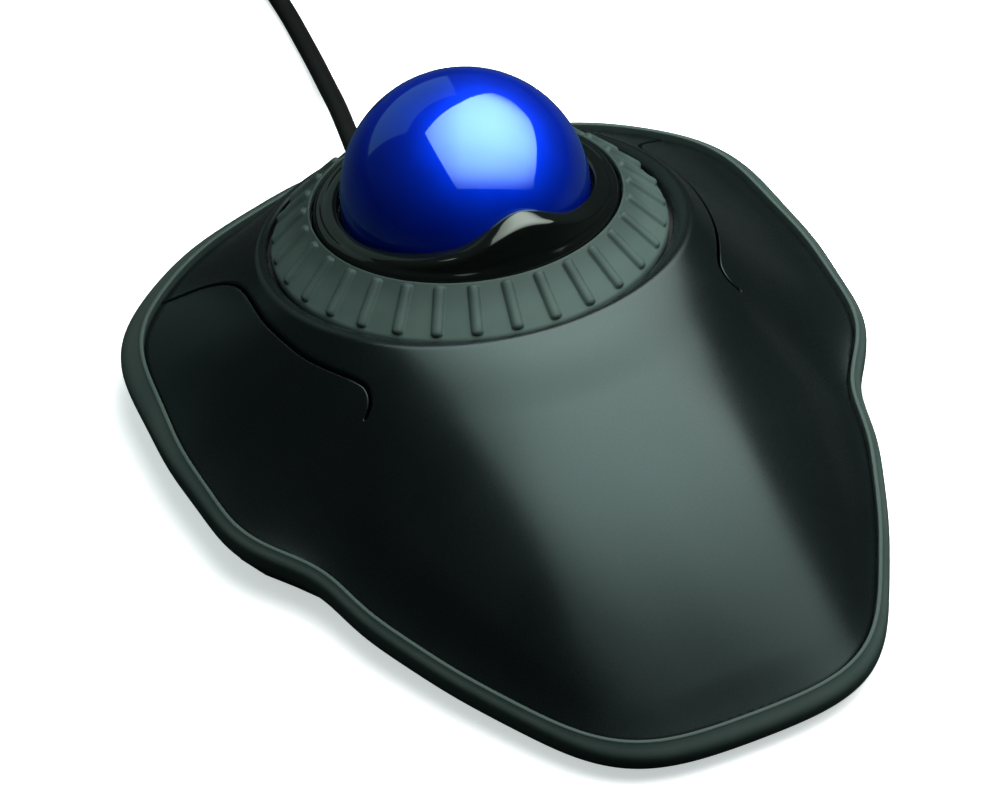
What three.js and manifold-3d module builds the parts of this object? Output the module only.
// Desktop trackball with a scroll ring around the ball.
// Units are millimetres. +Z is up, +Y points to the cord side, +X to the user's right.
// "Front" is the user's side (-Y), "rear" the cord side.
// The origin is on the table, at the middle of the centre foot.
import * as THREE from 'three';
import { mergeVertices } from 'three/addons/utils/BufferGeometryUtils.js';
import Module from 'manifold-3d';

const wasm = await Module();
wasm.setup();

// ---------------------------------------------------------------- driving dimensions
// Heights named _S are measured along the ring axis from the ball centre.
const BALL_R = 20;
const BALL_Y = 28.5;
const BALL_Z = 32.65;
const RING_LEAN = 11 * Math.PI / 180; // the ring axis leans to the rear of vertical
const GRIP_R_IN = 24.94;           // upper edge of the grip's cone
const GRIP_S_IN = -0.67;
const GRIP_R_OUT = 31.94;          // lower edge of the cone
const GRIP_S_OUT = -7.25;
const GRIP_RIBS = 31;
const SKIRT_R = 29.5;              // mid-wall of the carrier's slotted skirt
const SLOT_S = -12;                // middle of the skirt's slots
const SLOTS = 15;
const OPENING_R = 32.55;           // opening in the cover that the ring turns in
const OPENING_S = -8.9;            // underside of the opening's lip
const WALL = 2.0;                  // cover thickness
const REAR_WALL = 1.0;             // cover thickness at the cord side
const RIM_INSET = 0.9;             // cover edge, inside the bumper's edge line
const RIM_STAND = 1.0;             // bumper edge stands this much above the cover edge
const EDGE_DEPTH = 1.6;            // height of the cover's outer edge
const SLIT = 0.5;                  // gap around the buttons
const HINGE_GAP = 0.4;
const FLOOR_BOTTOM = 1.0;
const FLOOR_TOP = 3.2;
const FOOT_R = 5.0;
const FOOT_H = 1.6;
const BOSS_TOP = 6.3;
const POST_BOTTOM = BOSS_TOP + 0.3; // cover posts and cup legs stop short of the bosses
const PILOT_R = 1.25;              // screw holes in cover posts and cup legs
const COUNTERBORE_TOP = 4.2;
const CASE_SCREW_Z = 4.1;          // underside of the shank side of the head
const PCB_BOTTOM = 4.4;
const PCB_TOP = 6.0;
const PARTS_Z = PCB_TOP + 0.2;     // underside of the parts on the board
const SENSOR_Y = 24.2;
const SWITCH_X = 42;
const SWITCH_Y = 22;
const SWITCH_TOP = 12.7;
const PLUNGER_TOP = 13.4;
const CORD_R = 1.65;
const CORD_Z = 7.0;
const PLUG_X = 6.5;
const PLUG_Y = 146;                // start of the plug's overmould
const PLUG_Z = 4.0;
const SECTIONS = 66;               // sections around the body outline
const ABOVE_ALL = 40;              // posts start out this high and are trimmed

// Cosine series against the angle from +Y: radius and height of the bumper's edge line.
const RIM_RADIUS = [60.27, 1.43, 6.08, -5.64, -0.05, -0.48, -0.36, 0.55, 0.34, 0.28, -0.64,
  0.195, -0.06, -0.025, -0.02, 0.136, -0.074, -0.162, 0, 0, 0.016];
const RIM_HEIGHT = [10.62, 3.93, 0.02, 0.25];

// Left button's slit and hinge in plan, [x, y]; the right button is the mirror image.
const SLIT_LINE = [[-53, 50.2], [-46, 46.8], [-43, 45.3], [-39.9, 43.2], [-37.7, 40],
  [-36.7, 36.5], [-36.7, 32.5], [-37.1, 28.4], [-37.4, 24], [-37.2, 20], [-36.7, 16],
  [-35.9, 12.1], [-34.7, 8.5], [-33.1, 5], [-31.6, 2.1], [-30.9, 0.4], [-30.9, -1.2],
  [-31.5, -2.4], [-32.6, -3.2]];
const HINGE_LINE = [[-32.6, -3.2], [-44, -6.6], [-57, -10.5]];

// Fasteners and feet in plan, [x, y].
const COVER_SCREWS = {
  front_left: [-15, -48], front_right: [15, -48],
  rear_left: [-32, 48.5], rear_right: [32, 48.5],
};
const CUP_SCREWS = {
  cup_front_left: [-23, 13.8], cup_front_right: [23, 13.8],
  cup_rear_left: [-22.9, 40.3], cup_rear_right: [22.9, 40.3],
};
const CASE_SCREWS = { ...COVER_SCREWS, ...CUP_SCREWS };
const PCB_SCREWS = { left: [-33, 22], right: [33, 22], rear: [-12, 45] };
const FEET = {
  centre: [0, 0], front_left: [-21, -56], front_right: [21, -56],
  rear_left: [-43, 30], rear_right: [43, 30],
};
const SIDES = { left: -1, right: 1 };

// ---------------------------------------------------------------- materials
const paint = (look) => new THREE.MeshStandardMaterial({ metalness: 0, ...look });
const blackShell = paint({ color: 0x141a1a, roughness: 0.32 });
const greySoft = paint({ color: 0x49554f, roughness: 0.6 });
const ringRubber = paint({ color: 0x5a665f, roughness: 0.62 });
const blackGloss = paint({ color: 0x0a0c0c, roughness: 0.12 });
const blueBall = paint({ color: 0x0a2a9e, roughness: 0.06 });
const darkPlastic = paint({ color: 0x1b1e1f, roughness: 0.5 });
const whitePlastic = paint({ color: 0xd6d6cf, roughness: 0.4 });
const boardGreen = paint({ color: 0x14502c, roughness: 0.5 });
const chipBlack = paint({ color: 0x121314, roughness: 0.45 });
const switchRed = paint({ color: 0x8e1c16, roughness: 0.4 });
const steel = paint({ color: 0xb4b7ba, roughness: 0.3, metalness: 1 });
const ceramic = paint({ color: 0xe6e4dc, roughness: 0.15 });
const clearLens = paint({ color: 0xc8d4d8, roughness: 0.08, transparent: true, opacity: 0.5 });
const padRubber = paint({ color: 0x232425, roughness: 0.85 });
const cordSkin = paint({ color: 0x141515, roughness: 0.5 });

// ---------------------------------------------------------------- solid helpers
const WELD = 1e-4; // vertices this close become one
const moved = (x, y, z) => new THREE.Matrix4().makeTranslation(x, y, z);
const turnedZ = (angle) => new THREE.Matrix4().makeRotationZ(angle);
const UPRIGHT = new THREE.Matrix4().makeRotationX(Math.PI / 2); // takes the Y axis to Z
const MIRROR = new THREE.Matrix4().makeScale(-1, 1, 1);
const radians = (deg) => deg * Math.PI / 180;

// Six times the signed volume inside the triangles.
function signedVolume(points, corners) {
  let sum = 0;
  for (let i = 0; i < corners.length; i += 3) {
    const [first, second, third] = [0, 1, 2].map((k) =>
      new THREE.Vector3().fromArray(points, corners[i + k] * 3));
    sum += first.dot(second.cross(third));
  }
  return sum;
}

// Turns any closed geometry into a manifold solid whose faces point outwards.
function solid(geometry, frame) {
  const flat = geometry.index ? geometry.toNonIndexed() : geometry;
  const bare = new THREE.BufferGeometry();
  bare.setAttribute('position', flat.getAttribute('position').clone());
  if (frame) bare.applyMatrix4(frame);
  const merged = mergeVertices(bare, WELD);
  const points = merged.attributes.position.array;
  const corners = new Uint32Array(merged.index.array);
  if (signedVolume(points, corners) < 0) {
    for (let i = 0; i < corners.length; i += 3) {
      [corners[i + 1], corners[i + 2]] = [corners[i + 2], corners[i + 1]];
    }
  }
  return new wasm.Manifold(new wasm.Mesh({
    numProp: 3, vertProperties: new Float32Array(points), triVerts: corners,
  }));
}

function geometryOf(manifold) {
  const { numProp, vertProperties, triVerts } = manifold.getMesh();
  const points = new Float32Array(triVerts.length * 3);
  triVerts.forEach((k, i) =>
    points.set(vertProperties.subarray(k * numProp, k * numProp + 3), i * 3));
  const geometry = new THREE.BufferGeometry();
  geometry.setAttribute('position', new THREE.BufferAttribute(points, 3));
  geometry.computeVertexNormals();
  return geometry;
}

const span = (middle, width) => [middle - width / 2, middle + width / 2];

function box([x0, x1], [y0, y1], [z0, z1], frame = new THREE.Matrix4()) {
  const middle = moved((x0 + x1) / 2, (y0 + y1) / 2, (z0 + z1) / 2);
  return solid(new THREE.BoxGeometry(x1 - x0, y1 - y0, z1 - z0), frame.clone().multiply(middle));
}

// Upright cylinder.
function rod([x, y], [z0, z1], radius, sides, frame = new THREE.Matrix4()) {
  const place = frame.clone().multiply(moved(x, y, (z0 + z1) / 2)).multiply(UPRIGHT);
  return solid(new THREE.CylinderGeometry(radius, radius, z1 - z0, sides), place);
}

// The same upright cylinder at every place of a table.
const rods = (places, heights, radius, sides) =>
  wasm.Manifold.union(Object.values(places).map((place) => rod(place, heights, radius, sides)));

// Cylinder or cone along Y.
function rodY([x, z], [y0, y1], radius, sides, endRadius = radius) {
  const geometry = new THREE.CylinderGeometry(endRadius, radius, y1 - y0, sides);
  return solid(geometry, moved(x, (y0 + y1) / 2, z));
}

const shapeOf = (points) => new THREE.Shape(points.map(([x, y]) => new THREE.Vector2(x, y)));

// Plan outline pushed up from z0 to z1.
function prism(points, [z0, z1], frame = new THREE.Matrix4()) {
  const options = { depth: z1 - z0, bevelEnabled: false };
  const geometry = new THREE.ExtrudeGeometry(shapeOf(points), options);
  return solid(geometry, frame.clone().multiply(moved(0, 0, z0)));
}

// Closed profile of [radius, height] points, turned about Z.
function turned(profile, sides) {
  const points = [...profile, profile[0]].map(([r, s]) => new THREE.Vector2(r, s));
  return solid(new THREE.LatheGeometry(points, sides), UPRIGHT);
}

const quad = (a, b, c, d) => [...a, ...b, ...c, ...a, ...c, ...d];

function fromTriangles(values) {
  const positions = new THREE.Float32BufferAttribute(values, 3);
  return solid(new THREE.BufferGeometry().setAttribute('position', positions));
}

// Closed tube: each section is a closed loop of points, and the last section joins the first.
function ringLoft(sections) {
  const values = [];
  sections.forEach((here, i) => {
    const next = sections[(i + 1) % sections.length];
    here.forEach((point, j) => {
      const k = (j + 1) % here.length;
      values.push(...quad(point, next[j], next[k], here[k]));
    });
  });
  return fromTriangles(values);
}

// Stack of closed plan loops with a fan cap at each end.
function stackLoft(loops) {
  const first = loops[0];
  const last = loops[loops.length - 1];
  const values = [];
  for (let j = 0; j < first.length; j++) {
    const k = (j + 1) % first.length;
    for (let i = 0; i + 1 < loops.length; i++) {
      values.push(...quad(loops[i][j], loops[i][k], loops[i + 1][k], loops[i + 1][j]));
    }
    values.push(0, 0, first[0][2], ...first[k], ...first[j]);
    values.push(0, 0, last[0][2], ...last[j], ...last[k]);
  }
  return fromTriangles(values);
}

// Value against an angle, from [degrees, value] pairs: soft steps that are flat at every pair.
// Both sides of angle 0 are alike.
function byAngle(...pairs) {
  return (angle) => {
    const deg = Math.abs(Math.atan2(Math.sin(angle), Math.cos(angle))) * 180 / Math.PI;
    const next = pairs.findIndex(([stop]) => deg <= stop);
    if (next === 0) return pairs[0][1];
    if (next < 0) return pairs[pairs.length - 1][1];
    const [[from, low], [to, high]] = [pairs[next - 1], pairs[next]];
    return low + (high - low) * softStep((deg - from) / (to - from));
  };
}

function softStep(value) {
  const part = Math.min(1, Math.max(0, value));
  return part * part * (3 - 2 * part);
}

// ---------------------------------------------------------------- body outline
// "angle" runs around the body from +Y towards +X.
const angles = Array.from({ length: SECTIONS }, (_, i) => i * 2 * Math.PI / SECTIONS);
const cosineSum = (series, angle) =>
  series.reduce((sum, factor, k) => sum + factor * Math.cos(k * angle), 0);
const rimHeight = (angle) => cosineSum(RIM_HEIGHT, angle);

function rimPoint(angle) {
  const radius = cosineSum(RIM_RADIUS, angle);
  return [radius * Math.sin(angle), radius * Math.cos(angle)];
}

// Plan point moved outwards from the edge line, square to it.
function rimOffset(angle, outwards) {
  const [x, y] = rimPoint(angle);
  const [x0, y0] = rimPoint(angle - 0.02);
  const [x1, y1] = rimPoint(angle + 0.02);
  const length = Math.hypot(x1 - x0, y1 - y0);
  return [x - outwards * (y1 - y0) / length, y + outwards * (x1 - x0) / length];
}

// ---------------------------------------------------------------- ring frame
// "azimuth" runs around the ring from the user's side towards +X.
const leanFrame = new THREE.Matrix4().makeRotationX(-RING_LEAN).setPosition(0, BALL_Y, BALL_Z);
const leanInverse = leanFrame.clone().invert();
const LEAN_COS = Math.cos(RING_LEAN);
const LEAN_SIN = Math.sin(RING_LEAN);
const CENTRE_Y = BALL_Y + LEAN_SIN * GRIP_S_OUT; // ring axis at the grip's lower edge

// Point in the ring's own frame.
const inRing = (azimuth, r, s) => [r * Math.sin(azimuth), -r * Math.cos(azimuth), s];
// The same point in the table's frame.
const onRing = (azimuth, r, s) =>
  new THREE.Vector3(...inRing(azimuth, r, s)).applyMatrix4(leanFrame).toArray();

function azimuthOf(angle) {
  const [x, y] = rimOffset(angle, -RIM_INSET);
  return Math.atan2(x, -(y - CENTRE_Y));
}

// ---------------------------------------------------------------- top surface
// Palm rest: heights added to the top surface. Rows run from the middle outwards, as shares
// of the half width; columns run from the front end to the ring.
const PALM_ACROSS = [0, 0.25, 0.5, 0.75];
const PALM_Y = [-64, -52, -40, -28, -16];
const PALM = [
  [0.10, 0.50, 0.30, -0.35, -0.47],
  [0.15, 0.26, -0.02, -0.32, -0.32],
  [0.05, 0.05, 0.48, 0.92, 0.08],
  [-0.10, 0.40, 1.15, 1.20, 0.43],
];
const PALM_SPREAD = { across: 0.22, y: 11 };  // reach of each height
const PALM_END_Y = 14;                        // nothing is added beyond this
const PALM_FADE = {                           // where the heights die out
  side: 0.25, ringRadius: 36.5, ringWidth: 10, frontY: -70, frontWidth: 8,
};
const bump = (value) => Math.exp(-(value ** 2));

function palmHalfWidth(y) {
  const forward = -22 - y;
  return 46 - 0.31 * forward - (forward > 0 ? 0.0048 * forward * forward : 0);
}

function palmHeight(x, y) {
  if (y > PALM_END_Y) return 0;
  const share = Math.min(1, Math.abs(x) / palmHalfWidth(y));
  let sum = 0;
  PALM_ACROSS.forEach((middle, row) => PALM_Y.forEach((middleY, column) => {
    const mirrored = middle > 0 ? bump((share + middle) / PALM_SPREAD.across) : 0;
    const across = bump((share - middle) / PALM_SPREAD.across) + mirrored;
    sum += PALM[row][column] * across * bump((y - middleY) / PALM_SPREAD.y);
  }));
  const fromRing = Math.hypot(x, y - CENTRE_Y) - PALM_FADE.ringRadius;
  return sum * softStep((1 - share) / PALM_FADE.side)
    * softStep(fromRing / PALM_FADE.ringWidth)
    * softStep((y - PALM_FADE.frontY) / PALM_FADE.frontWidth);
}

// By azimuth: the crest around the opening, and the slopes of the top at crest and edge.
const crestRadius = byAngle([0, 34.5], [50, 35.9], [90, 34.8], [150, 33.4], [180, 33.3]);
const crestRise = byAngle([0, 1.3], [50, 1.5], [90, 0.8], [150, 0.1], [180, 0.1]);
const crestSlope =
  byAngle([0, -0.16], [40, -0.45], [70, -0.95], [100, -1.0], [150, -0.9], [180, -0.9]);
const edgeSlope =
  byAngle([0, -0.62], [40, -0.42], [70, -0.38], [100, -0.4], [150, -0.9], [180, -0.9]);

// Point of the top surface, from the crest (s = 0) to the cover's edge (s = 1).
function topPoint(angle, s) {
  const azimuth = azimuthOf(angle);
  const [crestX, crestY, crestZ] =
    onRing(azimuth, crestRadius(azimuth), GRIP_S_OUT + crestRise(azimuth));
  const [edgeX, edgeY] = rimOffset(angle, -RIM_INSET);
  const edgeZ = rimHeight(angle) - RIM_STAND;
  const run = Math.hypot(edgeX - crestX, edgeY - crestY);
  const s2 = s * s;
  const s3 = s2 * s;
  const x = crestX + (edgeX - crestX) * s;
  const y = crestY + (edgeY - crestY) * s;
  const z = (2 * s3 - 3 * s2 + 1) * crestZ + (s3 - 2 * s2 + s) * run * crestSlope(azimuth)
    + (3 * s2 - 2 * s3) * edgeZ + (s3 - s2) * run * edgeSlope(azimuth);
  return [x, y, z + palmHeight(x, y)];
}

// Point of the top surface moved inwards by a depth, square to the surface.
function inwards(angle, s, depth) {
  const step = 0.01;
  const top = (a, b) => new THREE.Vector3(...topPoint(a, b));
  const outward = top(angle, Math.min(1, s + step)).sub(top(angle, Math.max(0, s - step)));
  const around = top(angle + step, s).sub(top(angle - step, s));
  const normal = outward.cross(around).normalize();
  if (normal.z < 0) normal.negate();
  return top(angle, s).addScaledVector(normal, -depth).toArray();
}

// Cover before it is cut, by azimuth: section from the opening's lip over the top and back inside.
const edgeInset = byAngle([0, 2.6], [110, 2.6], [150, 2.0], [180, 2.0]);
const coverWall = byAngle([0, WALL], [110, WALL], [150, REAR_WALL], [180, REAR_WALL]);
const innerStart = byAngle([0, 0.3], [110, 0.34], [160, 0.6], [180, 0.6]);
const lipRadius = byAngle([0, 34.6], [100, 34.6], [150, 33.3], [180, 33.3]);
const LIP_ROUND = radians(52); // place of the one point that rounds the lip up to the crest

const shell = ringLoft(angles.map((angle) => {
  const azimuth = azimuthOf(angle);
  const lip = onRing(azimuth, OPENING_R, GRIP_S_OUT - 0.3);
  const crest = topPoint(angle, 0);
  const shares = [1 - Math.cos(LIP_ROUND), 1 - Math.cos(LIP_ROUND), Math.sin(LIP_ROUND)];
  const under = rimHeight(angle) - RIM_STAND - EDGE_DEPTH;
  return [
    onRing(azimuth, OPENING_R, OPENING_S),
    lip,
    lip.map((value, i) => value + (crest[i] - value) * shares[i]),
    ...[0, 0.16, 0.36, 0.58, 0.8, 1].map((s) => topPoint(angle, s)),
    [...rimOffset(angle, -RIM_INSET), under],
    [...rimOffset(angle, -edgeInset(azimuth)), under],
    ...[0.86, innerStart(azimuth)].map((s) => inwards(angle, s, coverWall(azimuth))),
    onRing(azimuth, lipRadius(azimuth), OPENING_S),
  ];
}));

// Everything under the top surface, 0.9 mm below it: the cover's posts are trimmed with it.
const below = ringLoft(angles.map((angle) => {
  const top = [0.02, 0.15, 0.35, 0.6, 0.97].map((s) => topPoint(angle, s));
  const [innerX, innerY] = top[0];
  const [outerX, outerY] = top[top.length - 1];
  return [...top.map(([x, y, z]) => [x, y, z - 0.9]), [outerX, outerY, -5], [innerX, innerY, -5]];
}));

// ---------------------------------------------------------------- cover and buttons
// Line moved sideways, to the right of the way it runs in plan: into the left button.
function shifted(line, distance) {
  return line.map(([x, y], i) => {
    const [x0, y0] = line[Math.max(0, i - 1)];
    const [x1, y1] = line[Math.min(line.length - 1, i + 1)];
    const length = Math.hypot(x1 - x0, y1 - y0);
    return [x + distance * (y1 - y0) / length, y - distance * (x1 - x0) / length];
  });
}

// Block over a button's plan: half a gap smaller for way = 1, half a gap larger for way = -1.
function buttonBlock(side, way) {
  const hinge = way * HINGE_GAP / 2;
  const region = [...shifted(SLIT_LINE, way * SLIT / 2), ...shifted(HINGE_LINE, hinge),
    [-75, -12 + hinge], [-75, 52]];
  return prism(region, [-5, 60], side > 0 ? MIRROR : undefined);
}

function topCover() {
  return shell
    .add(rods(COVER_SCREWS, [POST_BOTTOM, ABOVE_ALL], 3.0, 14).intersect(below))
    .subtract(rods(COVER_SCREWS, [0, 13], PILOT_R, 8))
    .subtract(buttonBlock(SIDES.left, -1))
    .subtract(buttonBlock(SIDES.right, -1));
}

// Button with a post over the switch plunger.
function button(side) {
  const post = rod([side * SWITCH_X, SWITCH_Y], [PLUNGER_TOP + 0.15, ABOVE_ALL], 1.9, 12);
  return shell.add(post.intersect(below)).intersect(buttonBlock(side, 1));
}

// ---------------------------------------------------------------- base and bumper
// Floor, wall inside the bumper, screw bosses, board posts, foot recesses and cord hole.
function baseTray() {
  const wallDrop = byAngle([0, 3.0], [34, 3.0], [46, 4.5], [112, 4.5], [125, 3.0], [180, 3.0]);
  const wallTop = (angle) => Math.max(FLOOR_TOP + 0.2, rimHeight(angle) - wallDrop(angle));
  const loop = (inset, height) =>
    angles.map((angle) => [...rimOffset(angle, -inset), height(angle)]);
  const tray = stackLoft([loop(2.3, () => FLOOR_BOTTOM), loop(0.9, () => 2.3),
    loop(0.9, wallTop), loop(2.5, wallTop), loop(2.5, () => FLOOR_TOP)]);
  return tray
    .add(rods(CASE_SCREWS, [FLOOR_TOP - 1, BOSS_TOP], 3.7, 12))
    .add(rods(PCB_SCREWS, [FLOOR_TOP - 1, PCB_BOTTOM - 0.2], 2.4, 8))
    .subtract(rods(CASE_SCREWS, [0, COUNTERBORE_TOP], 2.95, 12))
    .subtract(rods(CASE_SCREWS, [4, BOSS_TOP + 1], 1.4, 8))
    .subtract(rods(PCB_SCREWS, [2.6, PCB_BOTTOM], 1.1, 8))
    .subtract(rods(FEET, [0, FLOOR_BOTTOM + 0.8], FOOT_R + 0.35, 16))
    .subtract(rodY([0, CORD_Z], [56, 64], 2.5, 14));
}

// Soft skirt whose crisp upper edge stands above the cover all round.
function rimBumper() {
  const flareAt =
    byAngle([0, 3.3], [48, 3.3], [82, 1.7], [100, 1.35], [150, 1.3], [166, 1.9], [180, 2.0]);
  const depthAt = byAngle([0, 4.8], [60, 5.3], [120, 5.0], [180, 4.7]);
  return ringLoft(angles.map((angle) => {
    const flare = flareAt(angle);
    const depth = depthAt(angle);
    // [outwards from the edge line, down from it]
    const profile = [[-0.6, depth], [-0.6, 0.12], [-0.15, 0], [0.4 * flare, 0.12],
      [0.75 * flare, 0.6], [0.95 * flare, 1.4], [flare, 2.6],
      [0.9 * flare, 0.74 * depth], [0.5 * flare, depth]];
    return profile.map(([out, down]) => [...rimOffset(angle, out), rimHeight(angle) - down]);
  }));
}

// ---------------------------------------------------------------- scroll ring (leaning frame)
// Cone with rounded ribs lying along its slope.
function ringGrip() {
  const cone = turned([[GRIP_R_IN, -2.59], [GRIP_R_IN, -0.98], [25.3, -0.98], [31.75, -7.04],
    [GRIP_R_OUT, -8.3], [31.0, -8.3]], GRIP_RIBS * 2);
  const slope = Math.atan2(GRIP_S_IN - GRIP_S_OUT, GRIP_R_OUT - GRIP_R_IN);
  const rib = new THREE.CapsuleGeometry(0.74, 6.6, 1, 5, 1);
  const onSlope = moved(28.45, 0, -3.99)
    .multiply(new THREE.Matrix4().makeRotationY(slope))
    .multiply(turnedZ(Math.PI / 2));
  const ribs = Array.from({ length: GRIP_RIBS }, (_, i) =>
    solid(rib, turnedZ(-Math.PI / 2 + i * 2 * Math.PI / GRIP_RIBS).multiply(onSlope)));
  return wasm.Manifold.union([cone, ...ribs]);
}

// Carrier under the grip, with a slotted encoder skirt.
function ringCarrier() {
  const skirtOut = SKIRT_R + 0.6;
  const skirtIn = SKIRT_R - 0.6;
  let carrier = turned([[24.9, -12.4], [24.9, -2.95], [31.0, -8.68], [31.0, -9.3], [32.9, -9.3],
    [32.9, -10.3], [skirtOut, -10.3], [skirtOut, -13], [skirtIn, -13], [skirtIn, -9.3],
    [26.5, -6.7], [26.4, -12.4]], 40);
  for (let i = 0; i < SLOTS; i++) {
    const frame = turnedZ((i + 0.5) * 2 * Math.PI / SLOTS);
    carrier = carrier.subtract(box(span(SKIRT_R, 3), span(0, 2.2), span(SLOT_S, 1.4), frame));
  }
  return carrier;
}

// ---------------------------------------------------------------- ball seat (leaning frame)
// Ring between ball and scroll ring, with a raised lobe on the user's side whose top is
// broad and leans outwards.
function ballCollar() {
  const sections = 40;
  const lobeTop = 6.8;
  const topAt = byAngle([0, lobeTop], [30, 2.6], [62, 0.7], [90, -0.2], [150, 0.2], [180, 1.2]);
  const clearRadius = (s) => Math.sqrt(BALL_R ** 2 - s * s) + 0.55; // stays clear of the ball
  return ringLoft(Array.from({ length: sections }, (_, i) => {
    const azimuth = i * 2 * Math.PI / sections;
    const top = topAt(azimuth);
    const lobe = Math.max(0, top / lobeTop);
    const wide = lobe ** 0.6;
    const middle = Math.max(top / 2, -0.1);
    const inner = clearRadius(top);
    const profile = [[22.8, -13], [24.6, -13], [24.6, -2.2], [24.4, -1.2],
      [24.0, -0.5 + 0.4 * lobe],
      [inner + 2.4 + 1.1 * wide, top - 0.25 - 1.45 * wide],
      [inner + 1.1 + 0.9 * wide, top + 0.05 - 0.6 * wide],
      [inner + 0.25 + 0.3 * wide, top - 0.05 - 0.05 * wide],
      [inner, top - 0.45],
      [clearRadius(middle), Math.min(middle, top - 0.8)],
      [20.65, -1.4], [22.8, -2.8]];
    return profile.map(([r, s]) => inRing(azimuth, r, s));
  }));
}

const bearingCentres = [0, 1, 2].map((k) => {
  const below = radians(38);
  const radius = 21.25;
  const azimuth = Math.PI / 3 + k * 2 * Math.PI / 3;
  return inRing(azimuth, radius * Math.cos(below), -radius * Math.sin(below));
});

// Bowl under the ball, with an open bottom, a flange, four upright legs and bearing seats.
function ballCup() {
  const arc = (radius, list) => list.map(radians)
    .map((angle) => [radius * Math.cos(angle), -radius * Math.sin(angle)]);
  const [inner, outer, flangeDepth] = [20.9, 22.3, 14];
  let cup = turned([...arc(inner, [8.3, 26, 44, 61, 78]), ...arc(outer, [78, 62]),
    [16.9, -14.6], [26.6, -14.6], [26.6, -13.4], [17.9, -13.4], ...arc(outer, [20, 7.8])], 30);
  for (const [x, y] of Object.values(CUP_SCREWS)) {
    // The leg ends where its axis meets the flange's middle plane.
    const alongFlange = (y - BALL_Y + LEAN_SIN * flangeDepth) / LEAN_COS;
    const legTop = BALL_Z - LEAN_COS * flangeDepth - LEAN_SIN * alongFlange;
    cup = cup.add(rod([x, y], [POST_BOTTOM, legTop], 2.6, 14, leanInverse))
      .subtract(rod([x, y], [-2, 12], PILOT_R, 8, leanInverse));
  }
  for (const centre of bearingCentres) {
    cup = cup.subtract(solid(new THREE.SphereGeometry(1.5, 8, 6), moved(...centre)));
  }
  return cup;
}

// ---------------------------------------------------------------- circuit board
// Right half of the board's outline, [x, y], from the rear to the front.
const PCB_HALF = [[4.2, 49.7], [4.2, 55.3], [16.5, 55.3], [16.5, 36], [27, 32.5], [46.5, 32.5],
  [47.5, 12], [28, 12], [28, 19], [14, 19], [14, 14.6], [0, 14.6]];

function mainPcb() {
  const leftHalf = PCB_HALF.slice(0, -1).reverse().map(([x, y]) => [-x, y]);
  return prism([[0, 49.7], ...PCB_HALF, ...leftHalf], [PCB_BOTTOM, PCB_TOP])
    .subtract(rods(PCB_SCREWS, [PCB_BOTTOM - 1, PCB_TOP + 1], 1.2, 8));
}

const opticalSensor = () => box([-5, 5], [19.5, 29], [PARTS_Z, PARTS_Z + 1.6])
  .subtract(rod([0, SENSOR_Y], [PARTS_Z + 1, PARTS_Z + 3], 1.4, 10));

const sensorLens = () => rod([0, SENSOR_Y], [PARTS_Z + 1.8, PARTS_Z + 3.2], 4.2, 16)
  .add(rod([0, SENSOR_Y], [PARTS_Z + 3, PARTS_Z + 4.9], 2.6, 16));

const cableConnector = () => box([-5, 5], [44.5, 49.4], [PARTS_Z, PARTS_Z + 3.8])
  .subtract(box([-4.2, 4.2], [47.4, 50], [PARTS_Z + 1, PARTS_Z + 2.8]));

const switchBox = (side, width, length, heights) =>
  box(span(side * SWITCH_X, width), span(SWITCH_Y, length), heights);
const switchBody = (side) => switchBox(side, 5.8, 12.8, [PARTS_Z, SWITCH_TOP])
  .subtract(switchBox(side, 1.8, 3.4, [SWITCH_TOP - 1.9, SWITCH_TOP + 1]));
const switchPlunger = (side) => switchBox(side, 1.3, 2.9, [SWITCH_TOP - 1.1, PLUNGER_TOP]);

// Fork that reads the slotted skirt.
function photoInterrupter() {
  const azimuth = radians(158);
  const [x, y, z] = onRing(azimuth, SKIRT_R, SLOT_S);
  const frame = moved(x, y, 0).multiply(turnedZ(azimuth - Math.PI / 2));
  return box(span(0, 4.9), span(0, 4.4), [PARTS_Z, z + 1.1], frame)
    .subtract(box(span(0, 2.5), span(0, 6), [z - 1.8, z + 5], frame));
}

// ---------------------------------------------------------------- cord and plug
// Cord's centre line, [x, y, z], from the connector to the plug.
const CORD_PATH = [[0, 49.8, 7], [0, 54, 7], [0, 58, 7], [0, 62, 7], [0.05, 66.5, 7],
  [0.8, 72, 6.8], [2.4, 79.5, 6.0], [4.1, 87, 4.6], [5.4, 94, 3.3], [6.6, 101, 2.3],
  [7.5, 108, 1.8], [8.4, 118, 1.68], [8.4, 127, 2.2], [7.2, 134, 3.4], [PLUG_X, 139.7, PLUG_Z]];

function strainRelief() {
  const axis = [0, CORD_Z];
  return rodY(axis, [57.6, 59.0], 2.75, 16)
    .add(rodY(axis, [58.5, 61.6], 2.3, 16))
    .add(rodY(axis, [61.3, 67.3], 2.7, 16, 2.15))
    .subtract(rodY(axis, [50, 72], CORD_R + 0.15, 12));
}

function usbCable() {
  const points = CORD_PATH.map((point) => new THREE.Vector3(...point));
  const extrudePath = new THREE.CatmullRomCurve3(points, false, 'centripetal');
  const sides = 9;
  const section = shapeOf(Array.from({ length: sides }, (_, i) => {
    const angle = i * 2 * Math.PI / sides;
    return [CORD_R * Math.cos(angle), CORD_R * Math.sin(angle)];
  }));
  const options = { steps: 36, extrudePath, bevelEnabled: false };
  return solid(new THREE.ExtrudeGeometry(section, options));
}

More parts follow.
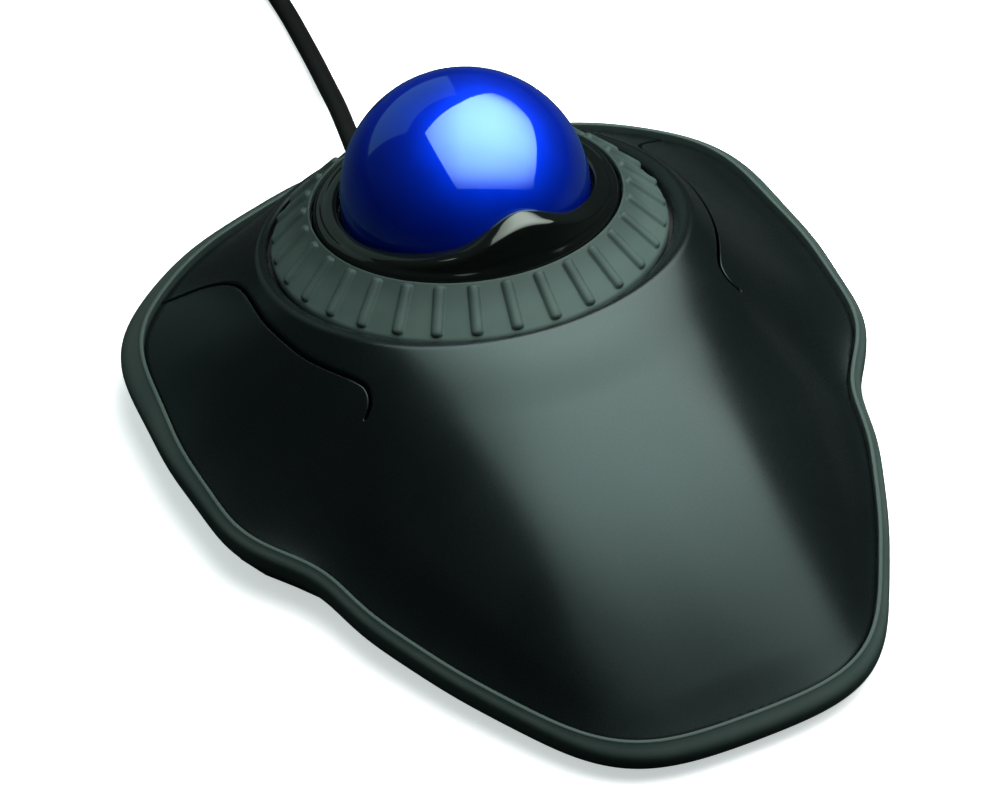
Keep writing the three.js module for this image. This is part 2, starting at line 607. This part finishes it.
// Bar with rounded corners on the plug's axis; y0 and y1 are measured from PLUG_Y.
function plugBar(width, height, radius, [y0, y1]) {
  const corners = [[1, 1], [-1, 1], [-1, -1], [1, -1]];
  const points = corners.flatMap(([sideX, sideY], quarter) => [0, 1, 2, 3].map((k) => {
    const angle = (quarter + k / 3) * Math.PI / 2;
    return [sideX * (width / 2 - radius) + radius * Math.cos(angle),
      sideY * (height / 2 - radius) + radius * Math.sin(angle)];
  }));
  const options = { depth: y1 - y0, bevelEnabled: false };
  const geometry = new THREE.ExtrudeGeometry(shapeOf(points), options);
  return solid(geometry, moved(PLUG_X, PLUG_Y + y1, PLUG_Z).multiply(UPRIGHT));
}

const plugOvermould = () => plugBar(15.6, 8, 2, [0, 24])
  .add(rodY([PLUG_X, PLUG_Z], [PLUG_Y - 6, PLUG_Y + 0.2], 2.3, 14, 3.2));
const plugShell = () => plugBar(12, 4.5, 0.5, [24.2, 38])
  .subtract(plugBar(11.4, 3.9, 0.3, [25, 40]));
const plugInsulator = () =>
  box(span(PLUG_X, 11), [PLUG_Y + 25.3, PLUG_Y + 37.4], [PLUG_Z - 1.75, PLUG_Z - 0.05]);

// ---------------------------------------------------------------- screws
// Head down, with a cross recess, and a plain shank up from z = 0.
function screw({ headRadius, headHeight, shankRadius, shankLength }) {
  const long = span(0, headRadius * 1.1);
  const narrow = span(0, 0.6);
  const recess = [-headHeight - 1, -headHeight * 0.4];
  const cross = box(long, narrow, recess).add(box(narrow, long, recess));
  return geometryOf(rod([0, 0], [-headHeight, 0], headRadius, 12)
    .add(rod([0, 0], [-0.2, shankLength], shankRadius, 8))
    .subtract(cross));
}
const caseScrew = screw({ headRadius: 2.6, headHeight: 1.6, shankRadius: 1.05, shankLength: 7.5 });
const boardScrew = screw({ headRadius: 2.0, headHeight: 1.2, shankRadius: 0.85, shankLength: 3 });

// ---------------------------------------------------------------- assembly
const root = new THREE.Group();
const lean = new THREE.Group();
lean.position.set(0, BALL_Y, BALL_Z);
lean.rotation.x = -RING_LEAN;
root.add(lean);

function add(name, made, material, parent = root, position = [0, 0, 0]) {
  const mesh = new THREE.Mesh(made.isBufferGeometry ? made : geometryOf(made), material);
  mesh.name = name;
  mesh.position.set(...position);
  parent.add(mesh);
  return mesh;
}

add('base_tray', baseTray(), darkPlastic);
add('rim_bumper', rimBumper(), greySoft);
add('top_cover', topCover(), blackShell);
for (const [word, side] of Object.entries(SIDES)) {
  add(word + '_button', button(side), blackShell);
}

add('scroll_ring_grip', ringGrip(), ringRubber, lean);
add('scroll_ring_carrier', ringCarrier(), darkPlastic, lean);
add('ball_collar', ballCollar(), blackGloss, lean);
bearingCentres.forEach((centre, i) => {
  add('support_bearing_' + (i + 1), new THREE.SphereGeometry(1.18, 10, 7), ceramic, lean, centre);
});
add('ball_cup', ballCup(), darkPlastic, lean);
const ball = new THREE.SphereGeometry(BALL_R, 28, 16);
add('trackball', ball, blueBall, root, [0, BALL_Y, BALL_Z]);

add('main_pcb', mainPcb(), boardGreen);
add('optical_sensor', opticalSensor(), chipBlack);
add('sensor_lens', sensorLens(), clearLens);
add('controller_ic', box([-15.5, -8.5], [26, 33], [PARTS_Z, PARTS_Z + 0.9]), chipBlack);
add('cable_connector', cableConnector(), whitePlastic);
for (const [word, side] of Object.entries(SIDES)) {
  add(word + '_switch_body', switchBody(side), chipBlack);
  add(word + '_switch_plunger', switchPlunger(side), switchRed);
}
add('ring_photo_interrupter', photoInterrupter(), chipBlack);

add('strain_relief', strainRelief(), padRubber);
add('usb_cable', usbCable(), cordSkin);
add('usb_plug_overmould', plugOvermould(), cordSkin);
add('usb_plug_shell', plugShell(), steel);
add('usb_plug_insulator', plugInsulator(), whitePlastic);

for (const [name, [x, y]] of Object.entries(FEET)) {
  const foot = new THREE.CylinderGeometry(FOOT_R, FOOT_R, FOOT_H, 16).applyMatrix4(UPRIGHT);
  add(name + '_foot', foot, padRubber, root, [x, y, FOOT_H / 2]);
}
for (const [name, [x, y]] of Object.entries(CASE_SCREWS)) {
  add('case_screw_' + name, caseScrew.clone(), steel, root, [x, y, CASE_SCREW_Z]);
}
for (const [name, [x, y]] of Object.entries(PCB_SCREWS)) {
  const mesh = add('pcb_screw_' + name, boardScrew.clone(), steel, root, [x, y, PCB_TOP + 0.1]);
  mesh.rotation.x = Math.PI; // head up
}

export default root;
